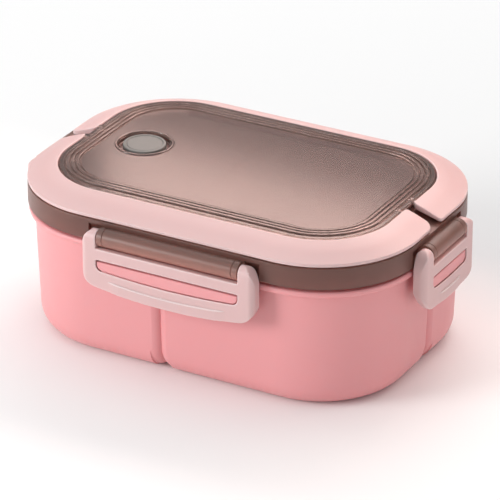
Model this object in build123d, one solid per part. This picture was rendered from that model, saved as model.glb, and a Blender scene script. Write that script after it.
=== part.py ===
from build123d import *
import os
from math import cos, radians, tan

# Bento lunch box, in millimetres. The origin is under the middle of the tub, on the surface
# it stands on. X runs along the long side, -Y is the front and +Z is up.

# Plan outline shared by the lid, the handle ring and the tub
LENGTH = 195.0
WIDTH = 136.0
CORNER = 48.0

# How far solids run into each other where they join, and cutters past what they cut
OVERLAP = 0.5
BEYOND = 60.0

# Heights
SKIRT_BOTTOM = 62.5
LID_EDGE = 73.05
SEAL_CEILING = 71.8
RIM_TOP = 70.3
DIVIDER_TOP = 66.0
RIDGE_TOP = 81.0

# Tub
DRAFT = 2.0
WALL_INSET = 3.15
SHOULDER = 58.5
BOTTOM_ROUND = 11.0
FLOOR = 2.4
BEAD_INSET = 0.6
BEAD_BOTTOM = 57.8
BEAD_TOP = 60.8
RIM_OUTER = 4.4
RIM_INNER = 6.6
DIVIDER_X = -10.5
DIVIDER_Y = 3.0
DIVIDER_WALL = 2.4
CELL_CORNER = 8.0
CELL_ROUND = 7.0
VALLEY_START = 56.5
VALLEY_BEND = 13.0
BEAD_ROUND = 1.2
RIM_ROUND = 0.7
LONG_VALLEY = (6.0, 2.3)
SHORT_VALLEY = (6.0, 2.0)

# Lid
SKIRT_WALL = 2.2
PAD_INSET = 3.9
RIB_OUTER = 7.1
RIB_INNER = 8.6
RIB_BOTTOM = 69.6
SEAL_PLAY = 0.2
SEAL_LIFT = 0.3
CENTRE_INSET = 14.6
CENTRE_FOOT = 77.15
CENTRE_WALL_INNER = 16.8
CENTRE_CEILING = 78.6
SHOULDER_CEILING = 74.9
LEDGE_TOP = 80.4
RIDGE_INSET = 17.4
RIDGE_PITCH = 2.3
RIDGE_COUNT = 3
GROOVE_WIDTH = 0.9
GROOVE_FLOOR = 80.0
PANEL_TOP = 80.5
BOSS_BELOW = 2.4
BOSS_WIDTH = 6.5
BOSS_WALL = 1.5

# Handles: two half rings on the lid's shoulder
BAND = 14.3
BAND_LOW_OUTER = 73.4
BAND_LOW_INNER = 77.4
BAND_TOP_OUTER = 75.0
BAND_TOP_INNER = 80.6
HANDLE_GAP = 7.0
TIP_ROUND = 5.0
TIP_SHARP = 2.0
TIP_INNER = 2.0
PIVOT_Y = 6.4
PIVOT_Z = 78.6
PIVOT_PIN = 1.2
PIN_PLAY = 0.06
SOCKET_END = 79.0
TIP_POCKET = 9.8
TIP_POCKET_OUTER = 72.2
TIP_POCKET_INNER = 74.9

# Latches: hinge axis outside the lid's wall, distances from it outwards and upwards
AXIS_OUT = 2.5
AXIS_Z = 66.8
BARREL = 4.4
EAR = 7.8
EAR_GAP = 0.4
EAR_POCKET = 4.75
EAR_PAD = 12.5
EAR_RADIUS = 3.6
EAR_ARCH = (6.0, 10.0)
FOOT_ROUND = 8.5
FRONT_ROUND = 3.0
RAIL_BACK = -2.1
PLATE_BACK = 1.4
PLATE_FACE = 4.4
LIP_FACE = 4.9
LIP_BAND = 5.0
LIP_SHORT = 6.5
LIP_RAMP = 5.0
BAR_TOP = -4.5
WINDOW_TOP = -10.0
WINDOW_LOW = -16.6
PLATE_LOW = -26.3
RAIL_FOOT = -16.0
RAIL_TOE = -23.0
LUG_SLOPE = 33.0
LUG_GAP = 0.4
LUG_TOP_GAP = 1.1
LUG_FACE = 3.8
LUG_HEIGHT = 7.8
LUG_EDGE = 0.5
WINDOW_CORNER = 3.0
LATCH_PIN = 1.6
LATCH_PIN_LENGTH = 3.2
BORE_SPARE = 0.3
LONG_WINDOW = 36.5
SHORT_WINDOW = 17.0
LONG_ARCS = (1.7, 3.7)
SHORT_ARCS = (0.7, 1.6)

# Vent
VENT_X = -54.3
VENT_RADIUS = 10.1
WELL_RADIUS = 12.5
WELL_WALL = 2.0
WELL_FLOOR = 78.0
WELL_UNDER = 76.4
VENT_STEM = 2.5
VENT_HEAD = 4.2
VENT_TRAVEL = 3.5
VENT_HOLES = 4
VENT_HOLE = 1.2
VENT_HOLE_CIRCLE = 6.0
VENT_EDGE = 0.5
VENT_RIM = 1.4
VENT_DISH = 0.9
VENT_HEAD_HEIGHT = 1.6
VENT_REST = 0.1


def outline(inset):
    """The plan outline, moved in by inset."""
    return RectangleRounded(LENGTH - 2 * inset, WIDTH - 2 * inset, CORNER - inset)


def slab(inset, low, high):
    """The outline as a flat block."""
    return Pos(0, 0, low) * extrude(outline(inset), high - low)


def ring(outer, inner, low, high):
    """An upright wall that follows the outline."""
    return slab(outer, low, high) - slab(inner, low - 1, high + 1)


def frustum(low_inset, low, high_inset, high):
    """A block that narrows from one outline to another."""
    lower = Pos(0, 0, low) * outline(low_inset)
    upper = Pos(0, 0, high) * outline(high_inset)
    return loft([lower, upper], ruled=True)


def rod(x_from, x_to, radius, y=0.0, z=0.0):
    """A cylinder along X."""
    middle = (x_from + x_to) / 2
    return Pos(middle, y, z) * Rot(0, 90, 0) * Cylinder(radius, abs(x_to - x_from))


def sides():
    """Name, place, half window and arc heights of the latch on each side."""
    across = WIDTH / 2 + AXIS_OUT
    along = LENGTH / 2 + AXIS_OUT
    return {
        "front": (Location((0, -across, AXIS_Z), (0, 0, 180)), LONG_WINDOW, LONG_ARCS),
        "back": (Location((0, across, AXIS_Z), (0, 0, 0)), LONG_WINDOW, LONG_ARCS),
        "right": (Location((along, 0, AXIS_Z), (0, 0, -90)), SHORT_WINDOW, SHORT_ARCS),
        "left": (Location((-along, 0, AXIS_Z), (0, 0, 90)), SHORT_WINDOW, SHORT_ARCS),
    }


def compartment(left, right, front, back):
    """The drafted hollow of one compartment, rounded at its corners and floor."""
    floor_inset = RIM_INNER + (DIVIDER_TOP - FLOOR) * tan(radians(DRAFT))
    frame = Pos((left + right) / 2, (front + back) / 2) * Rectangle(right - left, back - front)
    area = outline(floor_inset) & frame
    on_divider = [
        v for v in area.vertices()
        if min(abs(v.X - left), abs(v.X - right), abs(v.Y - front), abs(v.Y - back)) < 0.01
    ]
    area = fillet(on_divider, CELL_CORNER)
    hollow = Pos(0, 0, FLOOR) * extrude(area, DIVIDER_TOP - FLOOR, taper=-DRAFT)
    return fillet(hollow.faces().sort_by(Axis.Z)[0].edges(), CELL_ROUND)


def valley(points, x_dir, radius, depth):
    """The crease between two compartments' rounded corners, swept down the wall and under."""
    half = (radius**2 - (radius - depth) ** 2) ** 0.5
    path = FilletPolyline(*points, radius=VALLEY_BEND)
    start = Plane(origin=path @ 0, x_dir=x_dir, z_dir=path % 0)
    proud = 0.1
    apex = (0, proud - depth)
    shoulder_point = (half, proud)
    bend = radius * 0.5**0.5
    middle = (bend - half, proud - radius + bend)
    section = make_face(
        ThreePointArc((-half, proud), middle, apex)
        + ThreePointArc(apex, (-middle[0], middle[1]), shoulder_point)
        + Polyline(shoulder_point, (half, 20 * proud), (-half, 20 * proud), (-half, proud))
    )
    return sweep(start * section, path)


def window_area(half, low, top, sagitta):
    """Front view of the latch window: a curved lower edge and rounded lower corners."""
    edge = ThreePointArc((-half, low + sagitta), (0, low), (half, low + sagitta))
    rest = Polyline((half, low + sagitta), (half, top), (-half, top), (-half, low + sagitta))
    area = make_face(edge + rest)
    lower = area.vertices().sort_by(Axis.Y)[:2]
    return fillet(lower, WINDOW_CORNER)


def sloping(area, reach):
    """The front view taken back from the latch face along the lug's slope."""
    fall = tan(radians(LUG_SLOPE))
    face = Plane(origin=(0, PLATE_FACE + 1, fall), x_dir=(1, 0, 0), z_dir=(0, -1, 0)) * area
    return extrude(face, amount=reach, dir=(0, -1, -fall))


def lug(half, arcs):
    """The catch on the tub that fills the latch window."""
    low = WINDOW_LOW + LUG_GAP / cos(radians(LUG_SLOPE))
    area = window_area(half - LUG_GAP, low, 0, arcs[0])
    back = -(AXIS_OUT + WALL_INSET + 3 * OVERLAP)
    depth = LUG_FACE - back
    keep = Pos(0, back + depth / 2, WINDOW_TOP - LUG_TOP_GAP - LUG_HEIGHT / 2)
    nose = sloping(area, 2 * depth) & keep * Box(3 * half, depth, LUG_HEIGHT)
    return fillet(nose.faces().sort_by(Axis.Y)[-1].edges(), LUG_EDGE)


def tub():
    """One moulding: three compartments, the bead, the rim that the lid closes on, the lugs."""
    foot_inset = WALL_INSET + SHOULDER * tan(radians(DRAFT))
    body = frustum(foot_inset, 0, WALL_INSET, SHOULDER)
    body = fillet(body.faces().sort_by(Axis.Z)[0].edges(), BOTTOM_ROUND)
    bead = slab(BEAD_INSET, BEAD_BOTTOM, BEAD_TOP)
    bead_edges = bead.edges().group_by(Axis.Z)
    bead = fillet(bead_edges[0] + bead_edges[-1], BEAD_ROUND)
    rim = slab(RIM_OUTER, BEAD_TOP - OVERLAP, RIM_TOP)
    rim = fillet(rim.edges().group_by(Axis.Z)[-1], RIM_ROUND)
    foot_y = WIDTH / 2 - foot_inset
    top_y = foot_y + VALLEY_START * tan(radians(DRAFT))
    foot_x = LENGTH / 2 - foot_inset
    top_x = foot_x + VALLEY_START * tan(radians(DRAFT))
    across = [
        (DIVIDER_X, -top_y, VALLEY_START),
        (DIVIDER_X, -foot_y, 0),
        (DIVIDER_X, foot_y, 0),
        (DIVIDER_X, top_y, VALLEY_START),
    ]
    along = [(top_x, DIVIDER_Y, VALLEY_START), (foot_x, DIVIDER_Y, 0), (DIVIDER_X, DIVIDER_Y, 0)]
    body -= valley(across, (1, 0, 0), *LONG_VALLEY)
    body -= valley(along, (0, 1, 0), *SHORT_VALLEY)
    body = body + bead + rim
    far = LENGTH
    wall = DIVIDER_WALL
    body -= compartment(-far, DIVIDER_X - wall, -far, far)
    body -= compartment(DIVIDER_X + wall, far, -far, DIVIDER_Y - wall)
    body -= compartment(DIVIDER_X + wall, far, DIVIDER_Y + wall, far)
    body -= slab(RIM_INNER, DIVIDER_TOP, RIM_TOP + 1)
    for place, half, arcs in sides().values():
        body += place * lug(half, arcs)
    return body


def hinge_barrel(half):
    """The lid's barrel between a latch's ears, with a blind bore in each end."""
    barrel = rod(-half + EAR_GAP, half - EAR_GAP, BARREL)
    end = half - EAR_GAP - LATCH_PIN_LENGTH - BORE_SPARE
    for side in (-1, 1):
        barrel -= rod(side * end, side * half, LATCH_PIN + PIN_PLAY)
    return barrel


def ear_pads(half):
    """Thicker wall inside the skirt, where the ears turn in pockets."""
    middle = half + EAR / 2
    low = SKIRT_BOTTOM - AXIS_Z
    high = SEAL_CEILING + OVERLAP - AXIS_Z
    near = -AXIS_OUT - 2 * OVERLAP
    far = -AXIS_OUT - PAD_INSET
    pad = Box(EAR_PAD, near - far, high - low)
    spots = [Pos(side * middle, (near + far) / 2, (low + high) / 2) for side in (-1, 1)]
    return spots[0] * pad + spots[1] * pad


def ear_pockets(half):
    """Room for the ears to turn in the lid's wall."""
    inner = half - EAR_GAP
    outer = half + EAR + EAR_GAP
    return rod(inner, outer, EAR_POCKET) + rod(-outer, -inner, EAR_POCKET)


def tip_pocket(side):
    """A shallow dip in the shoulder, where the handles' tips swing down."""
    outer_x = side * (LENGTH / 2 + 1)
    inner_x = side * (LENGTH / 2 - CENTRE_INSET)
    profile = make_face(
        Polyline(
            (outer_x, TIP_POCKET_OUTER),
            (inner_x, TIP_POCKET_INNER),
            (inner_x, RIDGE_TOP),
            (outer_x, RIDGE_TOP),
            close=True,
        )
    )
    return extrude(Plane.XZ * profile, amount=TIP_POCKET, both=True)


def pivot_bosses():
    """Blocks inside the raised centre that hold the handles' pins."""
    inner_x = SOCKET_END - BOSS_WALL
    outer_x = LENGTH / 2 - CENTRE_INSET - OVERLAP
    low = PIVOT_Z - BOSS_BELOW
    high = CENTRE_CEILING + OVERLAP
    block = Box(outer_x - inner_x, BOSS_WIDTH, high - low)
    x = (inner_x + outer_x) / 2
    z = (low + high) / 2
    spots = [(x, PIVOT_Y), (x, -PIVOT_Y), (-x, PIVOT_Y), (-x, -PIVOT_Y)]
    return [Pos(spot[0], spot[1], z) * block for spot in spots]


def lid():
    """The lid moulding: skirt, shoulder, raised ridged centre, barrels, well and sockets."""
    shell = slab(0, SKIRT_BOTTOM, LID_EDGE)
    shell += frustum(0, LID_EDGE, CENTRE_INSET, CENTRE_FOOT)
    shell += slab(CENTRE_INSET, LID_EDGE, LEDGE_TOP)
    shell += slab(RIDGE_INSET, LEDGE_TOP - OVERLAP, RIDGE_TOP)
    for step in range(1, RIDGE_COUNT + 1):
        outer = RIDGE_INSET + step * RIDGE_PITCH - GROOVE_WIDTH / 2
        shell -= ring(outer, outer + GROOVE_WIDTH, GROOVE_FLOOR, RIDGE_TOP + 1)
    panel_inset = RIDGE_INSET + RIDGE_COUNT * RIDGE_PITCH + GROOVE_WIDTH / 2
    shell -= slab(panel_inset, PANEL_TOP, RIDGE_TOP + 1)
    shell -= slab(SKIRT_WALL, SKIRT_BOTTOM - 1, SEAL_CEILING)
    shell -= frustum(RIB_INNER, SEAL_CEILING - 0.01, CENTRE_WALL_INNER, SHOULDER_CEILING)
    shell -= slab(CENTRE_WALL_INNER, SHOULDER_CEILING - 0.01, CENTRE_CEILING)
    shell += ring(RIB_OUTER, RIB_INNER, RIB_BOTTOM, SEAL_CEILING + OVERLAP / 2)
    for boss in pivot_bosses():
        shell += boss
    well_height = CENTRE_CEILING - WELL_UNDER + OVERLAP
    well = Pos(VENT_X, 0, WELL_UNDER + well_height / 2)
    shell += well * Cylinder(WELL_RADIUS + WELL_WALL, well_height)
    on_floor = Pos(VENT_X, 0, WELL_FLOOR)
    shell -= on_floor * Pos(0, 0, BEYOND / 2) * Cylinder(WELL_RADIUS, BEYOND)
    shell -= on_floor * Cylinder(VENT_STEM + PIN_PLAY, BEYOND)
    for hole in PolarLocations(VENT_HOLE_CIRCLE, VENT_HOLES, 45):
        shell -= on_floor * hole * Cylinder(VENT_HOLE, BEYOND)
    for side in (-1, 1):
        shell -= tip_pocket(side)
        for y in (-PIVOT_Y, PIVOT_Y):
            mouth = side * (LENGTH / 2 - CENTRE_INSET + 1)
            shell -= rod(side * SOCKET_END, mouth, PIVOT_PIN + PIN_PLAY, y, PIVOT_Z)
    for place, half, arcs in sides().values():
        shell += place * ear_pads(half)
        shell -= place * ear_pockets(half)
        shell += place * hinge_barrel(half)
    return shell


def seal():
    """Silicone gasket in the lid's channel, just over the tub's rim."""
    outer = PAD_INSET + SEAL_PLAY
    inner = RIB_OUTER - SEAL_PLAY
    return ring(outer, inner, RIM_TOP + SEAL_LIFT, SEAL_CEILING)


def latch(half, arcs):
    """A window latch: two deep side rails with ears and pins, a bar, and a lip to pull."""
    out = half + EAR
    rail = Pos(PLATE_FACE - EAR_RADIUS, 0) * Circle(EAR_RADIUS)
    rail += make_face(
        Polyline(
            (PLATE_FACE, 0),
            (PLATE_FACE, PLATE_LOW),
            (PLATE_BACK, PLATE_LOW),
            (PLATE_BACK, RAIL_TOE),
            (RAIL_BACK, RAIL_FOOT),
            (RAIL_BACK, 0),
            close=True,
        )
    )
    rail -= Pos(RAIL_BACK - BARREL, 0) * Rectangle(2 * BARREL, 4 * BARREL)
    rails = extrude(Plane.YZ * rail, amount=out, both=True)
    rails -= Box(2 * half, BEYOND, 2 * BEYOND)
    plate_height = BAR_TOP - PLATE_LOW
    plate_depth = PLATE_FACE - PLATE_BACK
    plate = Pos(0, PLATE_BACK + plate_depth / 2, BAR_TOP - plate_height / 2)
    body = rails + plate * Box(2 * (half + OVERLAP), plate_depth, plate_height)
    window = sloping(window_area(half, WINDOW_LOW, 0, arcs[0]), 2 * (PLATE_FACE - RAIL_BACK))
    below_bar = Pos(0, 0, WINDOW_TOP - BEYOND / 2) * Box(4 * half, BEYOND, BEYOND)
    body -= window & below_bar
    silhouette = extrude(Plane.XZ * front_view(out, arcs[1]), amount=BEYOND, both=True)
    body = body & silhouette & plan_block(out)
    body += lip(half - LIP_SHORT, out, arcs[1])
    for side in (-1, 1):
        body += rod(side * (half - LATCH_PIN_LENGTH), side * (half + 1), LATCH_PIN)
    return body


def front_view(out, sagitta):
    """The latch seen from the front, with its bottom edge curved and its corners round."""
    low = PLATE_LOW + sagitta
    high = EAR_RADIUS
    area = make_face(
        ThreePointArc((-out, low), (0, PLATE_LOW), (out, low))
        + Polyline((out, low), (out, high), (-out, high), (-out, low))
    )
    area = fillet(area.vertices().sort_by(Axis.Y)[:2], FOOT_ROUND)
    wide, tall = EAR_ARCH
    corner = Pos((wide + OVERLAP) / 2, (tall + OVERLAP) / 2) * Rectangle(wide + OVERLAP, tall + OVERLAP)
    corner = Pos(out - wide, high - tall) * (corner - Ellipse(wide, tall))
    return area - corner - mirror(corner, Plane.YZ)


def plan_block(out):
    """The latch seen from above, with its front corners rounded."""
    depth = PLATE_FACE - RAIL_BACK
    area = Pos(0, RAIL_BACK + depth / 2) * Rectangle(2 * out, depth)
    area = fillet(area.vertices().sort_by(Axis.Y)[-2:], FRONT_ROUND)
    return extrude(area, BEYOND, both=True)


def lip(half, out, sagitta):
    """The raised band along the middle of the latch's lower edge."""
    top = PLATE_LOW + LIP_BAND
    edge = top + sagitta
    below = make_face(
        ThreePointArc((-out, edge), (0, top), (out, edge))
        + Polyline((out, edge), (out, -BEYOND), (-out, -BEYOND), (-out, edge))
    )
    band = extrude(Plane.XZ * (front_view(out, sagitta) & below), amount=BEYOND, both=True)
    from_above = make_face(
        Polyline(
            (-half, PLATE_BACK),
            (-half, PLATE_FACE),
            (-half + LIP_RAMP, LIP_FACE),
            (half - LIP_RAMP, LIP_FACE),
            (half, PLATE_FACE),
            (half, PLATE_BACK),
            close=True,
        )
    )
    return band & extrude(from_above, BEYOND, both=True)


def handle():
    """The front half ring, round at its right tip and square at its left, pinned at both."""
    band = slab(0, BAND_LOW_OUTER, BAND_TOP_OUTER)
    band += frustum(0, BAND_TOP_OUTER, BAND, BAND_TOP_INNER)
    band -= slab(BAND, BAND_LOW_OUTER - 1, BAND_TOP_INNER + 1)
    band -= frustum(0, BAND_LOW_OUTER, BAND, BAND_LOW_INNER)
    end = -HANDLE_GAP / 2
    area = outline(0) - outline(BAND)
    area = area & Pos(0, end - WIDTH / 2) * Rectangle(LENGTH + 2, WIDTH)
    tips = area.vertices().group_by(Axis.Y)[-1].sort_by(Axis.X)
    area = fillet([tips[-1]], TIP_ROUND)
    area = fillet([area.vertices().group_by(Axis.Y)[-1].sort_by(Axis.X)[0]], TIP_SHARP)
    inner = [v for v in area.vertices() if abs(v.Y - end) < 0.01]
    inner = sorted(inner, key=lambda v: abs(v.X))[:2]
    area = fillet(inner, TIP_INNER)
    half_ring = band & extrude(area, 2 * RIDGE_TOP)
    for side in (-1, 1):
        root = LENGTH / 2 - BAND + 3 * OVERLAP
        tip = SOCKET_END + BORE_SPARE
        half_ring += rod(side * tip, side * root, PIVOT_PIN, -PIVOT_Y, PIVOT_Z)
    return half_ring


def vent():
    """Silicone vent plug: a dished disc, a stem through the lid and a head under it."""
    low = WELL_FLOOR + VENT_REST
    high = PANEL_TOP + VENT_REST
    disc = Pos(0, 0, (low + high) / 2) * Cylinder(VENT_RADIUS, high - low)
    disc = fillet(disc.edges().group_by(Axis.Z)[-1], VENT_EDGE)
    disc -= Pos(0, 0, high) * Cylinder(VENT_RADIUS - VENT_RIM, VENT_DISH)
    head_top = WELL_UNDER - VENT_TRAVEL - VENT_REST
    stem = Pos(0, 0, (low + head_top) / 2) * Cylinder(VENT_STEM, low - head_top + OVERLAP)
    head = Pos(0, 0, head_top - VENT_HEAD_HEIGHT / 2)
    head = head * Cone(VENT_STEM, VENT_HEAD, VENT_HEAD_HEIGHT)
    return Pos(VENT_X, 0, 0) * (disc + stem + head)


def write(name, shape):
    """Write one sub-part to its own STEP file."""
    export_step(shape, f"parts/{name}.step")


os.makedirs("parts", exist_ok=True)
write("base_tub", tub())
write("lid_shell", lid())
write("lid_seal", seal())
for name, (place, half, arcs) in sides().items():
    write(f"latch_{name}", place * latch(half, arcs))
front_handle = handle()
write("handle_front", front_handle)
write("handle_back", Rot(0, 0, 180) * front_handle)
write("vent_plug", vent())
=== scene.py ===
from math import atan2, cos, pi, radians, sin, sqrt, tan

import bmesh
import bpy
from mathutils import Matrix, Vector


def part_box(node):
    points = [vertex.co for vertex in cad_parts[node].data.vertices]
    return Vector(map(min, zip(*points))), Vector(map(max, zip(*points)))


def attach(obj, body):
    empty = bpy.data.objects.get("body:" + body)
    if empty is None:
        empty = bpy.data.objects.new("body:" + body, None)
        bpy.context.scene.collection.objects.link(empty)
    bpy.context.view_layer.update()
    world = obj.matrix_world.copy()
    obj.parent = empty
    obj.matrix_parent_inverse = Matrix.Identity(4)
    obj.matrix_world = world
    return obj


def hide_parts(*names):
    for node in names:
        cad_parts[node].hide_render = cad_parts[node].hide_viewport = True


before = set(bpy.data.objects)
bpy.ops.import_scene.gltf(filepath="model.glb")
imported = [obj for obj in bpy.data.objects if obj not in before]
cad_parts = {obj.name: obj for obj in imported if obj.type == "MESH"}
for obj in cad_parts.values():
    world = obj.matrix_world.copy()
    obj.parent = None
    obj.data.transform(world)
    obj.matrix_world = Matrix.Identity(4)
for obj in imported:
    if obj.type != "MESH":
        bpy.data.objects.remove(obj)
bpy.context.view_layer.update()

# A bento lunch box: pink tub, smoky frosted lid, two half-ring handles, four window latches.
# Sizes are in millimetres and turned into metres when a mesh is made.
MM = 0.001


def box_mm(node):
    """A CAD node's lowest and highest corner, in millimetres."""
    low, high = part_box(node)
    return low / MM, high / MM


ring_low, ring_high = box_mm("handle_front")
lid_low, lid_high = box_mm("lid_shell")
seal_low, seal_high = box_mm("lid_seal")
vent_low, vent_high = box_mm("vent_plug")

# Plan outline
LENGTH = 2 * ring_high.x
WIDTH = -2 * ring_low.y
CORNER = 48.0
CORNER_STEPS = 32

# TWIST turns every round solid by a share of a step, and SHIFT moves a cutting face a little,
# so that no cut runs exactly along a face or an edge. A SLIVER is an edge too short to keep.
TWIST = 0.37
SHIFT = 0.02
SLIVER = 0.006
ON_AXIS = 1e-6
SAME_SPOT = 1e-6

# Lid section, as insets from the outline and heights
SKIRT_BOTTOM = lid_low.z
RIDGE_TOP = lid_high.z
LID_EDGE = 72.75
SHOULDER_STEP = 1.2
SHOULDER_RISE = 0.25
SHOULDER_BLEND = 1.0
CENTRE_INSET = 14.85
CENTRE_FOOT = 77.15
LEDGE_TOP = 80.4
RIDGE_START = 17.4
RIDGE_PITCH = 2.3
RIDGE_COUNT = 3
GROOVE_HALF = 0.42
GROOVE_FLOOR = 79.75
GROOVE_TAPER = 0.1
GROOVE_ROOT = 0.12
PANEL_TOP = 80.5
PANEL_REACH = 30.0
SKIRT_WALL = 2.2
SEAL_CEILING = seal_high.z
RIB_OUTER = 7.1
RIB_INNER = 8.6
RIB_BOTTOM = 69.6
CENTRE_WALL_INNER = 16.8
SHOULDER_CEILING = 74.9
CENTRE_CEILING = 78.6
CEILING_BLEND = 0.8
SOFT_EDGE = 0.5
SMALL_EDGE = 0.4
FINE_EDGE = 0.3
HAIR_EDGE = 0.2
SEAL_PLAY = 0.2
SEAL_NOTCH = 0.5
SEAL_LIP_EDGE = 0.25

# Handles
BAND = 14.3
BAND_LOW_OUTER = 73.4
BAND_LOW_INNER = 77.4
BAND_TOP_OUTER = 75.0
BAND_TOP_INNER = 80.6
BAND_CROWN = 0.35
BAND_CROWN_RADIUS = 40
BAND_EDGE = 0.65
BAND_STEPS = 6
HANDLE_GAP = -2 * ring_high.y
TIP_ROUND = 5.0
TIP_SHARP = 2.0
TIP_INNER = 2.0
TIP_STATIONS = [0, 0.02, 0.08, 0.18, 0.32, 0.46, 0.6, 0.9, 1.3, 1.8, 2.4, 3.1, 4, 5, 7, 9, 12]
END_EDGE = 0.6
PIVOT_Y = 6.4
PIVOT_Z = 78.6
PIVOT_PIN = 1.2
PIN_PLAY = 0.06
PIN_END_PLAY = 0.3
PIN_OVERLAP = 1.5
SOCKET_END = 79.0
BOSS_RADIUS = 2.3
BOSS_REACH = 0.6
TIP_POCKET = 9.8
TIP_POCKET_OUTER = 72.2
TIP_POCKET_INNER = 74.9
BEYOND = 1.0

# Latches
AXIS_OUT = 2.5
AXIS_Z = 66.8
BARREL = 4.4
BARREL_STEPS = 64
BARREL_RING = 3.0
RING_HALF = 0.3
RING_DEPTH = 0.35
RING_ROOT = 0.1
EAR = 7.8
EAR_GAP = 0.4
EAR_POCKET = 4.75
POCKET_SHORT = 0.5
PAD_INSET = 3.9
PAD_FACE = 1.03
PAD_SIDE = 2.2
PAD_FOOT = 0.2
PAD_HEAD = 0.47
LATCH_PIN = 1.6
LATCH_PIN_LENGTH = 3.2
BORE_SPARE = 0.3
LONG_WINDOW = 36.5
SHORT_WINDOW = 17.0
LATCH_VOXEL = 0.3
LATCH_SMOOTHING = 6
LATCH_SMOOTH_SHARE = 0.5
LATCH_CREASE = 80
LONG_RISE = 3.7
SHORT_RISE = 1.6
PLATE_FACE = 4.4
LIP_FACE = 4.75
LIP_LINE = -21.3
LIP_SHORT = 6.5
LIP_RAMP = 5.0
BEAD_LINE = 0.42
BEAD_TAPER = 3.0
BEAD_END = 0.15
BEAD_RINGS = 48
BEAD_SIDES = 12

# Vent
VENT = Vector(((vent_low.x + vent_high.x) / 2, (vent_low.y + vent_high.y) / 2, 0))
VENT_RADIUS = (vent_high.x - vent_low.x) / 2
VENT_STEPS = 96
WELL_RADIUS = 12.5
WELL_RIM = 1.5
WELL_WALL = 2.0
WELL_FLOOR = 78.0
WELL_UNDER = 76.4
WELL_JOIN = 0.5
WELL_STEP = 0.1
WELL_CUT = 0.7
RIM_DROP = 0.02
RIM_ROUND = 0.45
WELL_ROUND = 0.6
STEAM_HOLE = 1.2
STEAM_REACH = 6.0
STEAM_TURN = 45
HOLE_LOW = 74
HOLE_HIGH = 79
CUT_LOW = 70
CUT_HIGH = 90
VENT_STEM = 2.5
STEM_TAPER = 0.4
STEM_EDGE = 0.1
HEAD_RADIUS = 1.7
HEAD_HEIGHT = 1.6
DISC_PLAY = 0.1
DISC_RIM = 1.3
DISC_GROOVE = 1.6
DISC_DEPTH = 0.5
DISC_FACE = 2.2
DISC_STEP = 0.15
DISC_DISH = 0.1
DISC_EDGE = 0.25

# Each side's axis, turn, half window and how far the lower edge rises at its ends
SIDES = {
    "front": (Vector((0, -WIDTH / 2 - AXIS_OUT, AXIS_Z)), 180, LONG_WINDOW, LONG_RISE),
    "back": (Vector((0, WIDTH / 2 + AXIS_OUT, AXIS_Z)), 0, LONG_WINDOW, LONG_RISE),
    "right": (Vector((LENGTH / 2 + AXIS_OUT, 0, AXIS_Z)), -90, SHORT_WINDOW, SHORT_RISE),
    "left": (Vector((-LENGTH / 2 - AXIS_OUT, 0, AXIS_Z)), 90, SHORT_WINDOW, SHORT_RISE),
}

# Texture of plain and smoke plastic. Noise is (scale per metre, detail, roughness, stretch),
# gloss is (scuffs, grain, drop) and bump is (scuffs, grain, depth in metres).
PLAIN = {
    "cloud": (18, 2),
    "scuff": (260, 5, 0.65, (1, 1, 0.35)),
    "grain": (2600, 2),
    "gloss": (0.16, 0.06, 0.1),
    "bump": (0.5, 0.7, 0.00004),
}
SMOKE = {
    "cloud": (14, 3),
    "scuff": (320, 5, 0.65),
    "grain": (4200, 2),
    "gloss": (0.1, 0.06, 0.08),
    "bump": (0.5, 0.4, 0.00002),
}
# Sharp edges painted paler by pointiness: partly wear, partly a painted edge highlight.
WEAR_AND_HIGHLIGHT_STOPS = [(0.5, 0), (0.56, 1)]
WEAR_AND_HIGHLIGHT_TINT = (1, 0.93, 0.92, 1)
PLAIN_IOR = 1.49
SUBSURFACE_DEPTH = 0.004

# Lid finishes after the clear one, as material numbers, and how near a face is to its place
FROSTED, SATIN, BARREL_TINT = 1, 2, 3
FLAT = 0.99
CEILING_SPARE = 0.1
PANEL_SPARE = 0.05
BARREL_SPARE = 0.4

# Studio, in metres and watts: place, size, power, where it points, and its colour
CENTRE = (0, 0, 0.05)
WHITE = (1, 1, 1)
LAMPS = {
    "key": ((-0.75, -0.85, 0.4), (0.5, 0.5), 9.0, CENTRE, WHITE),
    "top": ((-0.25, 0.1, 0.9), (0.8, 0.5), 0.3, CENTRE, WHITE),
    "card": ((0.05, 0.14, 0.25), (0.44, 0.18), 0.98, (0.03, -0.1, 0.27), (1, 0.7, 0.62)),
    "fill": ((0.9, -0.25, 0.1), (0.4, 0.15), 0.8, CENTRE, WHITE),
    "back": ((-0.25, 0.75, 0.9), (0.9, 0.4), 3.4, (-0.25, 0.75, 0), WHITE),
}
ROOM_LEVEL = 0.25
ROOM_ABOVE = 1.0
FLOOR_HALF = 9000
FLOOR_SHADES = ((0.94, 0.94, 0.94, 1), (0.96, 0.96, 0.96, 1))
FLOOR_CLOUD = (3, 2)
FLOOR_ROUGHNESS = 0.9
FLOOR_SPECULAR = 0.1

# Camera
AZIMUTH = 28.92
ELEVATION = 26.325
DISTANCE = 1.6365
TARGET = Vector((0.02759, -0.04696, 0.065))
SENSOR = 36
LENS = 263.9


class Wire:
    """A number coming out of a node, which can be used in sums."""

    def __init__(self, graph, socket):
        self.graph = graph
        self.socket = socket

    def math(self, operation, first, second=0.0):
        node = self.graph.add("ShaderNodeMath", {"operation": operation}, {0: first, 1: second})
        return Wire(self.graph, node.outputs[0])

    def __add__(self, other):
        return self.math("ADD", self, other)

    def __sub__(self, other):
        return self.math("SUBTRACT", self, other)

    def __mul__(self, other):
        return self.math("MULTIPLY", self, other)

    def clamped(self):
        return self.math("MINIMUM", self.math("MAXIMUM", self, 0.0), 1.0)


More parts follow.
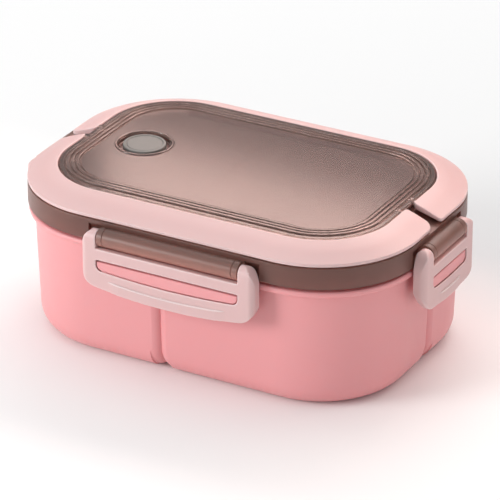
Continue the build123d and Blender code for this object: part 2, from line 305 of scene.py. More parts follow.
class Graph:
    """A node tree being filled in."""

    def __init__(self, tree):
        self.tree = tree

    def add(self, kind, settings=None, values=None):
        """A node of that kind, with its settings and then its sockets' values or links."""
        node = self.tree.nodes.new(kind)
        for name, setting in (settings or {}).items():
            if name == "stops":
                self.set_stops(node.color_ramp, setting)
            else:
                setattr(node, name, setting)
        for key, value in (values or {}).items():
            socket = node.inputs[key]
            if isinstance(value, Wire):
                value = value.socket
            if isinstance(value, bpy.types.NodeSocket):
                self.tree.links.new(value, socket)
            else:
                socket.default_value = value
        return node

    def set_stops(self, ramp, stops):
        """The colour stops of a ramp, as (place, grey) pairs."""
        while len(ramp.elements) < len(stops):
            ramp.elements.new(0.5)
        for element, (place, grey) in zip(ramp.elements, stops):
            element.position = place
            element.color = (grey, grey, grey, 1)

    def noise(self, scale, detail=3.0, roughness=0.5, stretch=(1, 1, 1)):
        """Noise on the piece's own coordinates, from 0 to 1."""
        place = self.add("ShaderNodeTexCoord")
        mapping = self.add(
            "ShaderNodeMapping", {}, {"Vector": place.outputs["Object"], "Scale": stretch}
        )
        values = {"Vector": mapping.outputs[0], "Scale": scale}
        values.update({"Detail": detail, "Roughness": roughness})
        made = self.add("ShaderNodeTexNoise", {}, values)
        return Wire(self, made.outputs["Fac"])

    def mix(self, factor, first, second):
        """A colour between two colours."""
        node = self.add("ShaderNodeMix", {"data_type": "RGBA"}, {0: factor, 6: first, 7: second})
        return node.outputs[2]

    def height(self):
        """Height above the table, in metres."""
        place = self.add("ShaderNodeTexCoord")
        split = self.add("ShaderNodeSeparateXYZ", {}, {0: place.outputs["Object"]})
        return Wire(self, split.outputs[2])


def colour(red, green, blue):
    """A colour given as 0 to 255 display values, as linear light."""
    parts = [c / 255 for c in (red, green, blue)]
    linear = [c / 12.92 if c <= 0.04045 else ((c + 0.055) / 1.055) ** 2.4 for c in parts]
    return (*linear, 1)


def new_material(name):
    """An empty material with its shader and output joined."""
    material = bpy.data.materials.new(name)
    material.use_nodes = True
    material.node_tree.nodes.clear()
    graph = Graph(material.node_tree)
    shader = graph.add("ShaderNodeBsdfPrincipled")
    graph.add("ShaderNodeOutputMaterial", {}, {"Surface": shader.outputs[0]})
    return material, graph, shader


def join(graph, source, shader, name):
    """Feeds one of the shader's sockets."""
    if isinstance(source, Wire):
        source = source.socket
    graph.tree.links.new(source, shader.inputs[name])


def textured(graph, shader, kind, grain, gloss):
    """Scuffs and fine grain that move the gloss and the bump."""
    scuff = graph.noise(*kind["scuff"])
    fine = graph.noise(*kind["grain"])
    scuff_gloss, fine_gloss, drop = kind["gloss"]
    rough = scuff * scuff_gloss + fine * fine_gloss + (gloss - drop)
    join(graph, rough, shader, "Roughness")
    scuff_bump, fine_bump, depth = kind["bump"]
    bump = graph.add(
        "ShaderNodeBump",
        {},
        {"Strength": grain, "Distance": depth, "Height": fine * fine_bump + scuff * scuff_bump},
    )
    join(graph, bump.outputs[0], shader, "Normal")


def moulded(name, base, shade, grain, gloss, subsurface=0.0, radius=(1, 0.4, 0.3), wear_and_highlight=0.35):
    """Satin moulded plastic: faint cloudiness, grain and scuffs, and edges painted paler, partly as
    wear and partly as a painted edge highlight.
    """
    material, graph, shader = new_material(name)
    body = graph.mix(graph.noise(*PLAIN["cloud"]), base, shade)
    # Painted edge highlight and wear: the sharpest edges are mixed towards a pale tint.
    if wear_and_highlight:
        edge_pointiness = graph.add("ShaderNodeNewGeometry").outputs["Pointiness"]
        edge = graph.add("ShaderNodeValToRGB", {"stops": WEAR_AND_HIGHLIGHT_STOPS}, {0: edge_pointiness})
        body = graph.mix(Wire(graph, edge.outputs[0]) * wear_and_highlight, body, WEAR_AND_HIGHLIGHT_TINT)
    join(graph, body, shader, "Base Color")
    textured(graph, shader, PLAIN, grain, gloss)
    shader.inputs["IOR"].default_value = PLAIN_IOR
    shader.inputs["Subsurface Weight"].default_value = subsurface
    shader.inputs["Subsurface Radius"].default_value = radius
    shader.inputs["Subsurface Scale"].default_value = SUBSURFACE_DEPTH
    return material


def smoky(name, light, dark, gloss, clear, grain, ior=1.5, painted_foot_glow=None):
    """Smoke plastic: cloudy tint, grain and scuffs, and where asked for a painted pink glow that
    makes the foot paler, standing in for light from the pink parts below.
    """
    material, graph, shader = new_material(name)
    body = graph.mix(graph.noise(*SMOKE["cloud"]), (*light, 1), (*dark, 1))
    if painted_foot_glow:
        # Painted glow: the colour goes from pale pink at the barrel's bottom to the body tint at
        # its top.
        rise = (graph.height() - (AXIS_Z - BARREL) * MM) * (1 / (2 * BARREL * MM))
        body = graph.mix(rise.clamped(), (*painted_foot_glow, 1), body)
    join(graph, body, shader, "Base Color")
    textured(graph, shader, SMOKE, grain, gloss)
    shader.inputs["IOR"].default_value = ior
    shader.inputs["Transmission Weight"].default_value = clear
    return material


TUB_PINK = moulded(
    "tub_pink",
    base=colour(226, 156, 158),
    shade=colour(223, 151, 154),
    grain=0.25,
    gloss=0.42,
    subsurface=0.2,
    radius=(1, 0.3, 0.25),
    wear_and_highlight=0,
)
TRIM_PINK = moulded(
    "trim_pink",
    base=colour(211, 178, 177),
    shade=colour(208, 174, 173),
    grain=0.25,
    gloss=0.4,
    subsurface=0.15,
    radius=(1, 0.5, 0.45),
)
LID_SMOKE = smoky(
    "lid_smoke", light=(0.5, 0.36, 0.32), dark=(0.45, 0.32, 0.29), gloss=0.16, clear=0.85, grain=0.1
)
LID_FROST = smoky(
    "lid_frost",
    light=(0.42, 0.28, 0.25),
    dark=(0.37, 0.25, 0.22),
    gloss=0.24,
    clear=0.92,
    grain=0.08,
    ior=1.62,
)
LID_SATIN = smoky(
    "lid_satin",
    light=(0.42, 0.215, 0.175),
    dark=(0.37, 0.185, 0.15),
    gloss=0.36,
    clear=0.76,
    grain=0.1,
    ior=1.46,
)
# The barrels' tint, with a painted pink glow at their foot standing in for pink light from the
# latch and tub below.
LID_BARREL = smoky(
    "lid_barrel",
    light=(0.28, 0.165, 0.14),
    dark=(0.25, 0.15, 0.125),
    gloss=0.32,
    clear=0.6,
    grain=0.1,
    ior=1.42,
    painted_foot_glow=(0.88, 0.43, 0.35),
)
SILICONE = moulded(
    "silicone",
    base=colour(236, 230, 226),
    shade=colour(228, 221, 217),
    grain=0.4,
    gloss=0.5,
    subsurface=0.3,
    radius=(1, 0.8, 0.7),
)
VENT_GREY = moulded(
    "vent_grey",
    base=colour(124, 124, 121),
    shade=colour(112, 112, 109),
    grain=0.8,
    gloss=0.5,
    wear_and_highlight=0,
)


def rounded(corners, closed=True, steps=5):
    """A line through (x, y, radius) corners, with each corner turned into an arc."""
    made = []
    count = len(corners)
    for index, (x, y, radius) in enumerate(corners):
        here = Vector((x, y))
        if not radius or (not closed and index in (0, count - 1)):
            made.append(here)
            continue
        before = (Vector(corners[index - 1][:2]) - here).normalized()
        after = (Vector(corners[(index + 1) % count][:2]) - here).normalized()
        half_angle = before.angle(after) / 2
        centre = here + (before + after).normalized() * radius / sin(half_angle)
        start = here + before * radius / tan(half_angle) - centre
        end = here + after * radius / tan(half_angle) - centre
        turn = atan2(start.cross(end), start.dot(end))
        for step in range(steps + 1):
            made.append(centre + Matrix.Rotation(turn * step / steps, 2) @ start)
    return made


def new_piece(name, vertices, faces, edges=()):
    """A mesh object from points in millimetres."""
    mesh = bpy.data.meshes.new(name)
    mesh.from_pydata([Vector(v) * MM for v in vertices], list(edges), faces)
    piece = bpy.data.objects.new(name, mesh)
    bpy.context.scene.collection.objects.link(piece)
    return piece


def settle(piece):
    """Turns the piece's modifiers into plain mesh."""
    graph = bpy.context.evaluated_depsgraph_get()
    mesh = bpy.data.meshes.new_from_object(piece.evaluated_get(graph))
    piece.modifiers.clear()
    piece.data = mesh
    return piece


def outwards(piece):
    """Merges doubles and points every face outwards."""
    shape = bmesh.new()
    shape.from_mesh(piece.data)
    bmesh.ops.remove_doubles(shape, verts=shape.verts, dist=SAME_SPOT)
    bmesh.ops.recalc_face_normals(shape, faces=shape.faces)
    shape.to_mesh(piece.data)
    shape.free()
    return piece


def combine(piece, others, operation):
    """Adds or cuts other solids, which are used up."""
    for other in others:
        modifier = piece.modifiers.new("combine", "BOOLEAN")
        modifier.object = other
        modifier.operation = operation
        modifier.solver = "EXACT"
    settle(piece)
    for other in others:
        bpy.data.objects.remove(other)
    return piece


def without_slivers(piece):
    """Removes the edges and faces too short to see that cutting leaves behind."""
    shape = bmesh.new()
    shape.from_mesh(piece.data)
    bmesh.ops.dissolve_degenerate(shape, dist=SLIVER * MM, edges=shape.edges)
    shape.to_mesh(piece.data)
    shape.free()
    return piece


def together(pieces):
    """Several solids as one object."""
    shape = bmesh.new()
    for piece in pieces:
        shape.from_mesh(piece.data)
    keep = pieces[0]
    shape.to_mesh(keep.data)
    shape.free()
    for piece in pieces[1:]:
        bpy.data.objects.remove(piece)
    return keep


def placed(piece, matrix):
    """Moves the piece's mesh, with the shift in millimetres."""
    shift = matrix.copy()
    shift.translation *= MM
    piece.data.transform(shift)
    return piece


def lathe(name, line, steps=64, axis="Z"):
    """A closed solid from a line of (radius, height) points that starts and ends on the axis."""
    vertices, faces, rings = [], [], []
    for radius, height in line:
        if radius < ON_AXIS:
            rings.append([len(vertices)] * steps)
            vertices.append((0, 0, height))
            continue
        rings.append([len(vertices) + k for k in range(steps)])
        angles = [2 * pi * (k + TWIST) / steps for k in range(steps)]
        vertices += [(radius * cos(angle), radius * sin(angle), height) for angle in angles]
    for lower, upper in zip(rings, rings[1:]):
        for k in range(steps):
            after = (k + 1) % steps
            corners = [lower[k], lower[after], upper[after], upper[k]]
            faces.append(list(dict.fromkeys(corners)))
    piece = new_piece(name, vertices, faces)
    if axis == "X":
        piece.data.transform(Matrix.Rotation(radians(90), 4, "Y"))
    return outwards(piece)


def ring_faces(base, size):
    """Faces between one ring of points, which starts at base, and the next ring."""
    made = []
    for k in range(size):
        after = (k + 1) % size
        made.append((base + k, base + after, base + size + after, base + size + k))
    return made


def plain_rod(radius, low, high, axis="Z", steps=48):
    """A cylinder used to cut or to fill."""
    return lathe("rod", [(0, low), (radius, low), (radius, high), (0, high)], steps, axis)


def block(low, high):
    """A box between two corners."""
    x, y, z = zip(low, high)
    vertices = [(a, b, c) for a in x for b in y for c in z]
    faces = [(0, 1, 3, 2), (4, 6, 7, 5), (0, 4, 5, 1), (2, 3, 7, 6), (0, 2, 6, 4), (1, 5, 7, 3)]
    return outwards(new_piece("block", vertices, faces))


def finished(piece, material, body, slot, *nodes, crease=32):
    """Smooth shading with kept edges, the material, the body it rides on and what it replaces."""
    shape = bmesh.new()
    shape.from_mesh(piece.data)
    for face in shape.faces:
        face.smooth = True
    for edge in shape.edges:
        edge.smooth = not edge.is_manifold or edge.calc_face_angle(0) < radians(crease)
    shape.to_mesh(piece.data)
    shape.free()
    weighted = piece.modifiers.new("weighted", "WEIGHTED_NORMAL")
    weighted.keep_sharp = True
    settle(piece)
    piece.data.materials.clear()
    piece.data.materials.append(material)
    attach(piece, body)
    if nodes:
        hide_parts(*nodes)
    return piece


# Geometry Nodes: a section carried round the plan outline


def outline_sweep():
    """The tree that carries the object's own section line round a rounded rectangle."""
    tree = bpy.data.node_groups.new("outline_sweep", "GeometryNodeTree")
    interface = tree.interface
    interface.new_socket("Section", in_out="INPUT", socket_type="NodeSocketGeometry")
    for name in ("Length", "Width", "Corner"):
        interface.new_socket(name, in_out="INPUT", socket_type="NodeSocketFloat")
    interface.new_socket("Steps", in_out="INPUT", socket_type="NodeSocketInt")
    interface.new_socket("Finish", in_out="INPUT", socket_type="NodeSocketMaterial")
    interface.new_socket("Solid", in_out="OUTPUT", socket_type="NodeSocketGeometry")
    graph = Graph(tree)
    given = graph.add("NodeGroupInput").outputs
    plan = graph.add(
        "GeometryNodeCurvePrimitiveQuadrilateral",
        {"mode": "RECTANGLE"},
        {"Width": given["Length"], "Height": given["Width"]},
    )
    turned = graph.add(
        "GeometryNodeFilletCurve",
        {"mode": "POLY"},
        {"Curve": plan.outputs[0], "Count": given["Steps"], "Radius": given["Corner"]},
    )
    upright = graph.add("GeometryNodeSetCurveNormal", {"mode": "Z_UP"}, {0: turned.outputs[0]})
    section = graph.add("GeometryNodeMeshToCurve", {}, {0: given["Section"]})
    swept = graph.add(
        "GeometryNodeCurveToMesh",
        {},
        {"Curve": upright.outputs[0], "Profile Curve": section.outputs[0]},
    )
    real = graph.add("GeometryNodeRealizeInstances", {}, {0: swept.outputs[0]})
    done = graph.add(
        "GeometryNodeSetMaterial",
        {},
        {"Geometry": real.outputs[0], "Material": given["Finish"]},
    )
    graph.add("NodeGroupOutput", {}, {0: done.outputs[0]})
    return tree


OUTLINE_SWEEP = outline_sweep()


def swept(name, section, closed, material):
    """A ring or shell whose section is given as (inset, height) points."""
    vertices = [(-inset, -height, 0) for inset, height in section]
    count = len(vertices)
    edges = [(k, (k + 1) % count) for k in range(count if closed else count - 1)]
    piece = new_piece(name, vertices, [], edges)
    modifier = piece.modifiers.new("sweep", "NODES")
    modifier.node_group = OUTLINE_SWEEP
    sizes = {
        "Length": LENGTH * MM,
        "Width": WIDTH * MM,
        "Corner": CORNER * MM,
        "Steps": CORNER_STEPS,
        "Finish": material,
    }
    for socket in OUTLINE_SWEEP.interface.items_tree:
        if socket.name in sizes:
            modifier[socket.identifier] = sizes[socket.name]
    settle(piece)
    return outwards(piece)


# Lid


def lid_section():
    """The lid from the panel's edge over the ridges, shoulder and skirt to the inner ceiling."""
    line = [(PANEL_REACH, PANEL_TOP, 0)]
    grooves = [RIDGE_START + k * RIDGE_PITCH for k in range(RIDGE_COUNT + 1)]
    tops = [LEDGE_TOP] + [RIDGE_TOP] * RIDGE_COUNT + [PANEL_TOP]
    for index in range(RIDGE_COUNT, -1, -1):
        groove = grooves[index]
        line += [
            (groove + GROOVE_HALF, tops[index + 1], FINE_EDGE),
            (groove + GROOVE_HALF - GROOVE_TAPER, GROOVE_FLOOR, GROOVE_ROOT),
            (groove - GROOVE_HALF + GROOVE_TAPER, GROOVE_FLOOR, GROOVE_ROOT),
            (groove - GROOVE_HALF, tops[index], FINE_EDGE),
        ]
    line += [
        (CENTRE_INSET, LEDGE_TOP, SOFT_EDGE),
        (CENTRE_INSET, CENTRE_FOOT, SOFT_EDGE),
        (SHOULDER_STEP, LID_EDGE + SHOULDER_RISE, SHOULDER_BLEND),
        (0, LID_EDGE, SMALL_EDGE),
        (0, SKIRT_BOTTOM, SOFT_EDGE),
        (SKIRT_WALL, SKIRT_BOTTOM, SOFT_EDGE),
        (SKIRT_WALL, SEAL_CEILING, FINE_EDGE),
        (RIB_OUTER, SEAL_CEILING, FINE_EDGE),
        (RIB_OUTER, RIB_BOTTOM, SMALL_EDGE),
        (RIB_INNER, RIB_BOTTOM, SMALL_EDGE),
        (RIB_INNER, SEAL_CEILING, FINE_EDGE),
        (CENTRE_WALL_INNER, SHOULDER_CEILING, SOFT_EDGE),
        (CENTRE_WALL_INNER, CENTRE_CEILING, CEILING_BLEND),
        (PANEL_REACH, CENTRE_CEILING, 0),
    ]
    return rounded(line, closed=False)


def close_holes(piece):
    """Fills the flat middles that the sweep leaves open."""
    shape = bmesh.new()
    shape.from_mesh(piece.data)
    bmesh.ops.holes_fill(shape, edges=[e for e in shape.edges if e.is_boundary])
    bmesh.ops.recalc_face_normals(shape, faces=shape.faces)
    shape.to_mesh(piece.data)
    shape.free()
    return piece


def side_matrix(side):
    """Place of a latch's axis: local X along it, local Y outwards."""
    spot, turn = SIDES[side][:2]
    return Matrix.Translation(spot) @ Matrix.Rotation(radians(turn), 4, "Z")


def vent_well():
    """The cup that the vent sits in, with a raised rim."""
    rim = WELL_RADIUS + WELL_RIM
    wall = WELL_RADIUS + WELL_WALL
    join_top = CENTRE_CEILING + WELL_JOIN
    line = rounded(
        [
            (0, WELL_UNDER, 0),
            (wall, WELL_UNDER, SOFT_EDGE),
            (wall, join_top, 0),
            (rim, join_top + WELL_STEP, 0),
            (rim, RIDGE_TOP - RIM_DROP, RIM_ROUND),
            (WELL_RADIUS, RIDGE_TOP - RIM_DROP, WELL_ROUND),
            (WELL_RADIUS, WELL_FLOOR, WELL_ROUND),
            (0, WELL_FLOOR, 0),
        ],
        closed=False,
    )
    return lathe("well", line, VENT_STEPS)


def barrel(half):
    """The barrel between a latch's ears, with a groove near each end and blind bores."""
    end = half - EAR_GAP
    ring = end - BARREL_RING
    bore = end - LATCH_PIN_LENGTH - BORE_SPARE
    hole = LATCH_PIN + PIN_PLAY
    right = [
        (BARREL, ring - RING_HALF, 0),
        (BARREL - RING_DEPTH, ring, RING_ROOT),
        (BARREL, ring + RING_HALF, 0),
        (BARREL, end, SMALL_EDGE),
        (hole, end, HAIR_EDGE),
        (hole, bore, 0),
        (0, bore, 0),
    ]
    left = [(radius, -x, turn) for radius, x, turn in reversed(right)]
    return lathe("barrel", rounded(left + right, closed=False), BARREL_STEPS, "X")


def tip_pocket(side):
    """The dip in the shoulder that the handles' tips swing into."""
    outer, inner = side * (LENGTH / 2 + BEYOND), side * (LENGTH / 2 - CENTRE_INSET + SHIFT)
    line = [
        (outer, TIP_POCKET_OUTER),
        (inner, TIP_POCKET_INNER),
        (inner, RIDGE_TOP + BEYOND),
        (outer, RIDGE_TOP + BEYOND),
    ]
    count = len(line)
    vertices = [(x, y, z) for y in (-TIP_POCKET, TIP_POCKET) for x, z in line]
    faces = [tuple(range(count)), tuple(reversed(range(count, 2 * count)))]
    for k in range(count):
        after = (k + 1) % count
        faces.append((k, after, after + count, k + count))
    return outwards(new_piece("pocket", vertices, faces))


def lid_finishes(shell):
    """Frost on the panel and under it, satin on skirt and shoulder, a tint on the barrels."""
    for material in (LID_FROST, LID_SATIN, LID_BARREL):
        shell.data.materials.append(material)
    places = [(side_matrix(side).inverted(), facts[2]) for side, facts in SIDES.items()]
    inset = RIDGE_START + RIDGE_COUNT * RIDGE_PITCH
    for face in shell.data.polygons:
        spot = face.center / MM
        inside = abs(spot.x) < LENGTH / 2 - inset and abs(spot.y) < WIDTH / 2 - inset
        flat = abs(face.normal.z) > FLAT and spot.z > CENTRE_CEILING - CEILING_SPARE
        if inside and flat and spot.z < PANEL_TOP + PANEL_SPARE:
            face.material_index = FROSTED
        elif not inside and spot.z < CENTRE_FOOT:
            face.material_index = SATIN
            for place, half in places:
                local = place @ spot
                if abs(local.x) < half and abs(local.yz.length - BARREL) < BARREL_SPARE:
                    face.material_index = BARREL_TINT


def ear_room(side):
    """What a latch's ears need in the lid: pads inside the skirt, then pockets cut in it."""
    place = side_matrix(side)
    half = SIDES[side][2]
    pads, pockets = [], []
    for way in (-1, 1):
        middle = way * (half + EAR / 2)
        reach = EAR / 2 + PAD_SIDE
        low = (middle - reach, -AXIS_OUT - PAD_INSET, SKIRT_BOTTOM + PAD_FOOT - AXIS_Z)
        high = (middle + reach, -AXIS_OUT - PAD_FACE, SEAL_CEILING + PAD_HEAD - AXIS_Z)
        pads.append(placed(block(low, high), place))
        ends = sorted((way * (half - EAR_GAP + SHIFT), way * (half + EAR - POCKET_SHORT)))
        pockets.append(placed(plain_rod(EAR_POCKET, *ends, "X", BARREL_STEPS), place))
    return pads, pockets


def pivots():
    """The handles' bosses in the raised centre's ends, and the sockets bored in them."""
    inner = LENGTH / 2 - RIDGE_START + BOSS_REACH
    outer = LENGTH / 2 - CENTRE_INSET - SHIFT
    bosses, sockets = [], []
    for way in (-1, 1):
        for y in (-PIVOT_Y, PIVOT_Y):
            spot = Matrix.Translation((0, y, PIVOT_Z))
            ends = sorted((way * inner, way * outer))
            bosses.append(placed(plain_rod(BOSS_RADIUS, *ends, "X"), spot))
            ends = sorted((way * SOCKET_END, way * (outer + PIN_OVERLAP)))
            sockets.append(placed(plain_rod(PIVOT_PIN + PIN_PLAY, *ends, "X"), spot))
    return bosses, sockets


def vent_holes():
    """The stem's hole and four steam holes in the well's floor."""
    holes = [plain_rod(VENT_STEM + PIN_PLAY, HOLE_LOW, HOLE_HIGH)]
    for k in range(4):
        angle = radians(STEAM_TURN + 90 * k)
        spot = Matrix.Translation((STEAM_REACH * cos(angle), STEAM_REACH * sin(angle), 0))
        holes.append(placed(plain_rod(STEAM_HOLE, HOLE_LOW, HOLE_HIGH), spot))
    return holes


def lid():
    """The smoky lid moulding."""
    shell = close_holes(swept("lid", lid_section(), False, LID_SMOKE))
    at_vent = Matrix.Translation(VENT)
    opening = plain_rod(WELL_RADIUS + WELL_CUT, CUT_LOW, CUT_HIGH)
    combine(shell, [placed(opening, at_vent)], "DIFFERENCE")
    combine(shell, [placed(vent_well(), at_vent)], "UNION")
    combine(shell, [placed(hole, at_vent) for hole in vent_holes()], "DIFFERENCE")
    pads, pockets = [], []
    for side in SIDES:
        side_pads, side_pockets = ear_room(side)
        pads += side_pads
        pockets += side_pockets
    barrels = [placed(barrel(facts[2]), side_matrix(side)) for side, facts in SIDES.items()]
    bosses, sockets = pivots()
    combine(shell, pads + bosses, "UNION")
    combine(shell, [tip_pocket(-1), tip_pocket(1), *sockets, *pockets], "DIFFERENCE")
    combine(shell, barrels, "UNION")
    without_slivers(shell)
    finished(shell, LID_SMOKE, "lid", "lid_smoke", "lid_shell")
    lid_finishes(shell)


def gasket():
    """The silicone seal in the lid's channel, with two lips underneath."""
    low, high = seal_low.z, seal_high.z
    outer = PAD_INSET + SEAL_PLAY
    inner = RIB_OUTER - SEAL_PLAY
    middle = (outer + inner) / 2
    line = rounded(
        [
            (outer, high, HAIR_EDGE),
            (outer, low, FINE_EDGE),
            (middle - SEAL_NOTCH, low, SEAL_LIP_EDGE),
            (middle, low + SEAL_NOTCH, HAIR_EDGE),
            (middle + SEAL_NOTCH, low, SEAL_LIP_EDGE),
            (inner, low, FINE_EDGE),
            (inner, high, HAIR_EDGE),
        ]
    )
    finished(swept("seal", line, True, SILICONE), SILICONE, "lid", "silicone", "lid_seal")


# Handles


def corner_cut(distance, radius):
    """How far a rounded corner cuts in at a distance from the end."""
    if distance >= radius:
        return 0.0
    return radius - sqrt(max(radius**2 - (radius - distance) ** 2, 0))


def half_ring_stations():
    """(place, outward normal) along the front half of the outline, from right tip to left tip."""
    straight_x, straight_y = LENGTH / 2 - CORNER, WIDTH / 2 - CORNER
    start = HANDLE_GAP / 2
    side = [start + d for d in TIP_STATIONS if start + d < straight_y]
    made = [(Vector((LENGTH / 2, -y)), Vector((1, 0))) for y in side]
    for step in range(CORNER_STEPS + 1):
        angle = -pi / 2 * step / CORNER_STEPS
        normal = Vector((cos(angle), sin(angle)))
        made.append((Vector((straight_x, -straight_y)) + normal * CORNER, normal))
    mirrored = [(Vector((-p.x, p.y)), Vector((-n.x, n.y))) for p, n in reversed(made)]
    return made + mirrored


def handle(name, turn):
    """Half of the ring, rounded at one tip and square at the other, with a pin at each tip."""
    top_rise = BAND_TOP_INNER - BAND_TOP_OUTER
    low_rise = BAND_LOW_INNER - BAND_LOW_OUTER
    middle_top = (BAND_TOP_OUTER + BAND_TOP_INNER) / 2 + BAND_CROWN

    def top(inset):
        share = inset / BAND
        return BAND_TOP_OUTER + top_rise * share + 4 * BAND_CROWN * share * (1 - share)

    def low(inset):
        return BAND_LOW_OUTER + low_rise * inset / BAND

    section = rounded(
        [
            (0, BAND_LOW_OUTER, SMALL_EDGE),
            (0, BAND_TOP_OUTER, BAND_EDGE),
            (BAND / 2, middle_top, BAND_CROWN_RADIUS),
            (BAND, BAND_TOP_INNER, BAND_EDGE),
            (BAND, BAND_LOW_INNER, SMALL_EDGE),
        ],
        steps=BAND_STEPS,
    )
    shares = [(p.x / BAND, (p.y - low(p.x)) / (top(p.x) - low(p.x))) for p in section]
    vertices, faces = [], []
    stations = half_ring_stations()
    for place, normal in stations:
        distance = -place.y - HANDLE_GAP / 2
        edge = corner_cut(distance, END_EDGE)
        tip = TIP_ROUND if place.x > 0 else TIP_SHARP
        outer = corner_cut(distance, tip) + edge
        inner = BAND - corner_cut(distance, TIP_INNER) - edge
        for across, up in shares:
            inset = outer + across * (inner - outer)
            bottom = low(inset) + edge
            height = bottom + up * (top(inset) - edge - bottom)
            spot = place - normal * inset
            vertices.append((spot.x, spot.y, height))
    size = len(shares)
    for row in range(len(stations) - 1):
        faces += ring_faces(row * size, size)
    faces.append(tuple(range(size)))
    faces.append(tuple(len(vertices) - 1 - k for k in range(size)))
    band = outwards(new_piece(name, vertices, faces))
    pins = []
    for way in (-1, 1):
        near, far = SOCKET_END + PIN_END_PLAY, LENGTH / 2 - BAND + PIN_OVERLAP
        ends = sorted((way * near, way * far))
        spot = Matrix.Translation((0, -PIVOT_Y, PIVOT_Z))
        pins.append(placed(plain_rod(PIVOT_PIN, *ends, "X", 32), spot))
    band = together([band, *pins])
    band.data.transform(Matrix.Rotation(radians(turn), 4, "Z"))
    finished(band, TRIM_PINK, name, "trim_pink", name)


# Latches


def lip_bead(half, rise):
    """The fine raised line along the latch's pull lip, thin at both ends."""
    reach = half - LIP_SHORT
    out = half + EAR
    vertices, faces = [], []
    for k in range(BEAD_RINGS + 1):
        x = reach * (2 * k / BEAD_RINGS - 1)
        radius = BEAD_LINE * min(1, (reach - abs(x)) / BEAD_TAPER + BEAD_END)
        y = PLATE_FACE + (LIP_FACE - PLATE_FACE) * min(1, (reach - abs(x)) / LIP_RAMP)
        z = LIP_LINE + rise * (x / out) ** 2
        for step in range(BEAD_SIDES):
            angle = 2 * pi * step / BEAD_SIDES
            vertices.append((x, y + radius * cos(angle), z + radius * sin(angle)))
    for row in range(BEAD_RINGS):
        faces += ring_faces(row * BEAD_SIDES, BEAD_SIDES)
    faces.append(tuple(range(BEAD_SIDES)))
    faces.append(tuple(BEAD_RINGS * BEAD_SIDES + k for k in reversed(range(BEAD_SIDES))))
    return outwards(new_piece("bead", vertices, faces))


def latch(side):
    """A latch moulding with soft edges and a raised line on its pull lip."""
    node = f"latch_{side}"
    piece = bpy.data.objects.new(f"{node}_moulding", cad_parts[node].data.copy())
    bpy.context.scene.collection.objects.link(piece)
    outwards(piece)
    remesh = piece.modifiers.new("remesh", "REMESH")
    remesh.mode = "VOXEL"
    remesh.voxel_size = LATCH_VOXEL * MM
    smooth = piece.modifiers.new("smooth", "SMOOTH")
    smooth.factor = LATCH_SMOOTH_SHARE
    smooth.iterations = LATCH_SMOOTHING
    settle(piece)
    half, rise = SIDES[side][2:]
    piece = together([piece, placed(lip_bead(half, rise), side_matrix(side))])
    finished(piece, TRIM_PINK, node, "trim_pink", node, crease=LATCH_CREASE)


# Vent


def vent():
    """The silicone vent plug: a dished disc with a ring groove, a stem and a head."""
    low = WELL_FLOOR + DISC_PLAY
    top = vent_high.z
    head = vent_low.z
    line = rounded(
        [
            (0, head, 0),
            (VENT_STEM - STEM_TAPER, head, STEM_EDGE),
            (VENT_STEM + HEAD_RADIUS, head + HEAD_HEIGHT, HAIR_EDGE),
            (VENT_STEM, head + HEAD_RADIUS, 0),
            (VENT_STEM, low, STEM_EDGE),
            (VENT_RADIUS, low, FINE_EDGE),
            (VENT_RADIUS, top, WELL_ROUND),
            (VENT_RADIUS - DISC_RIM, top, DISC_EDGE),
            (VENT_RADIUS - DISC_GROOVE, top - DISC_DEPTH, HAIR_EDGE),
            (VENT_RADIUS - DISC_FACE, top - DISC_STEP, HAIR_EDGE),
            (0, top - DISC_DISH, 0),
        ],
        closed=False,
    )
    piece = placed(lathe("vent", line, VENT_STEPS), Matrix.Translation(VENT))
    finished(piece, VENT_GREY, "vent", "vent_grey", "vent_plug")


# Tub


def tub():
    """The tub keeps its CAD shape and takes the pink finish."""
    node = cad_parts["base_tub"]
    node.data.materials.clear()
    node.data.materials.append(TUB_PINK)


# Floor, light and camera


def floor():
    """A plain pale floor."""
    corners = [(x * FLOOR_HALF, y * FLOOR_HALF, 0) for x, y in ((-1, -1), (1, -1), (1, 1), (-1, 1))]
    piece = new_piece("floor", corners, [(0, 1, 2, 3)])
    material, graph, shader = new_material("floor_white")
    join(graph, graph.mix(graph.noise(*FLOOR_CLOUD), *FLOOR_SHADES), shader, "Base Color")
    shader.inputs["Roughness"].default_value = FLOOR_ROUGHNESS
    shader.inputs["Specular IOR Level"].default_value = FLOOR_SPECULAR
    piece.data.materials.append(material)


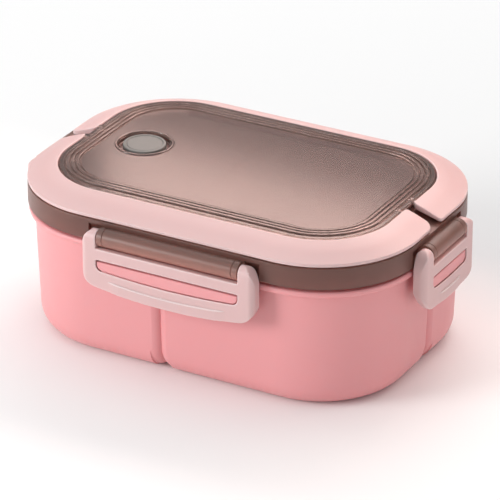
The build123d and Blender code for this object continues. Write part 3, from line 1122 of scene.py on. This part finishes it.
def lamp(name, place, size, power, aim, tint):
    """A soft rectangular lamp pointed at a spot."""
    light = bpy.data.lights.new(name, "AREA")
    light.color = tint
    light.shape = "RECTANGLE"
    light.size, light.size_y = size
    light.energy = power
    holder = bpy.data.objects.new(name, light)
    holder.location = place
    holder.rotation_mode = "QUATERNION"
    holder.rotation_quaternion = (Vector(aim) - Vector(place)).to_track_quat("-Z", "Y")
    holder.visible_camera = False
    bpy.context.scene.collection.objects.link(holder)


def studio():
    """White room light, brighter from above, and the soft lamps."""
    world = bpy.data.worlds.new("studio")
    bpy.context.scene.world = world
    world.use_nodes = True
    world.node_tree.nodes.clear()
    graph = Graph(world.node_tree)
    seen = graph.add("ShaderNodeLightPath").outputs["Is Camera Ray"]
    way = graph.add("ShaderNodeTexCoord").outputs["Generated"]
    upward = Wire(graph, graph.add("ShaderNodeSeparateXYZ", {}, {0: way}).outputs[2]).clamped()
    strength = upward * upward * (ROOM_ABOVE - ROOM_LEVEL) + ROOM_LEVEL
    room = graph.add("ShaderNodeBackground", {}, {"Color": (1, 1, 1, 1), "Strength": strength})
    white = graph.add("ShaderNodeBackground", {}, {"Color": (1, 1, 1, 1), "Strength": 1.0})
    both = graph.add("ShaderNodeMixShader", {}, {0: seen, 1: room.outputs[0], 2: white.outputs[0]})
    graph.add("ShaderNodeOutputWorld", {}, {"Surface": both.outputs[0]})
    for name, facts in LAMPS.items():
        lamp(name, *facts)
    bpy.context.scene.view_settings.view_transform = "Standard"


def camera():
    """A long lens from the front right, a little above."""
    azimuth, elevation = radians(AZIMUTH), radians(ELEVATION)
    back = Vector((sin(azimuth) * cos(elevation), -cos(azimuth) * cos(elevation), sin(elevation)))
    data = bpy.data.cameras.new("camera")
    data.sensor_width = SENSOR
    data.lens = LENS
    holder = bpy.data.objects.new("camera", data)
    holder.location = TARGET + back * DISTANCE
    holder.rotation_mode = "QUATERNION"
    holder.rotation_quaternion = (-back).to_track_quat("-Z", "Y")
    bpy.context.scene.collection.objects.link(holder)
    bpy.context.scene.camera = holder


camera()
floor()
studio()
tub()
lid()
gasket()
handle("handle_front", 0)
handle("handle_back", 180)
for side in SIDES:
    latch(side)
vent()
